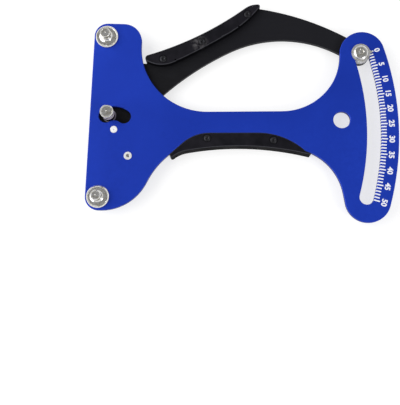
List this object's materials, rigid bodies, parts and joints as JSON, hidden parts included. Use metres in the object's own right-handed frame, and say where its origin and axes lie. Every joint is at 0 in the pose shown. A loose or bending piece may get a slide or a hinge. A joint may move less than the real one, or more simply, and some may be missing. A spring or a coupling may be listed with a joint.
{
  "type": "spoke tension meter",
  "caption": "Hand tool that bends a wheel spoke between two fixed posts and a third post on a sprung squeeze lever, with a pointer on an arc scale.",
  "frame": {"origin": "middle of the footprint, on the flat surface that the rear faces of both grips rest on", "axes": "+X towards the scale, +Y from the frame grip towards the lever grip, +Z out of the plate's face"},
  "size_m": [0.2096, 0.1494, 0.0198],
  "materials": {
    "plate_blue": "satin blue anodising",
    "lever_black": "black coating on steel, satin",
    "grip_black": "moulded, fine texture",
    "turned_steel": "turned, bright",
    "screw_black": "black oxide",
    "spring_steel": "spring wire",
    "bush_brass": "plain bearing"
  },
  "bodies": {
    "frame": {"body_plate": "plate_blue", "upper_post": "turned_steel", "lower_post": "turned_steel", "post_screws": "turned_steel", "spring_eyelet": "turned_steel", "pivot_pin": "turned_steel", "pivot_clip": "spring_steel", "pivot_washer": "turned_steel", "frame_grip_front": "grip_black", "frame_grip_rear": "grip_black", "frame_grip_screws": "screw_black", "return_spring": "spring_steel"},
    "lever": {"lever": "lever_black", "lever_bush": "bush_brass", "lever_grip_front": "grip_black", "lever_grip_rear": "grip_black", "lever_grip_screws": "screw_black", "moving_post": "turned_steel", "moving_post_screw": "turned_steel", "pointer_bush": "turned_steel", "rear_pointer_washer": "turned_steel", "pointer_washer": "turned_steel", "pointer_screw": "turned_steel", "pointer_nut": "turned_steel"}
  },
  "joints": [
    {"name": "squeeze", "type": "hinge", "parent": "frame", "child": "lever", "pos_m": [-0.0878, -0.01745, 0.0055], "axis": [0, 0, -1], "range_deg": [0, 32.68], "stiffness_Nm_per_rad": 0.13, "springref_deg": -40.11, "deforming": ["return_spring"]}
  ]
}
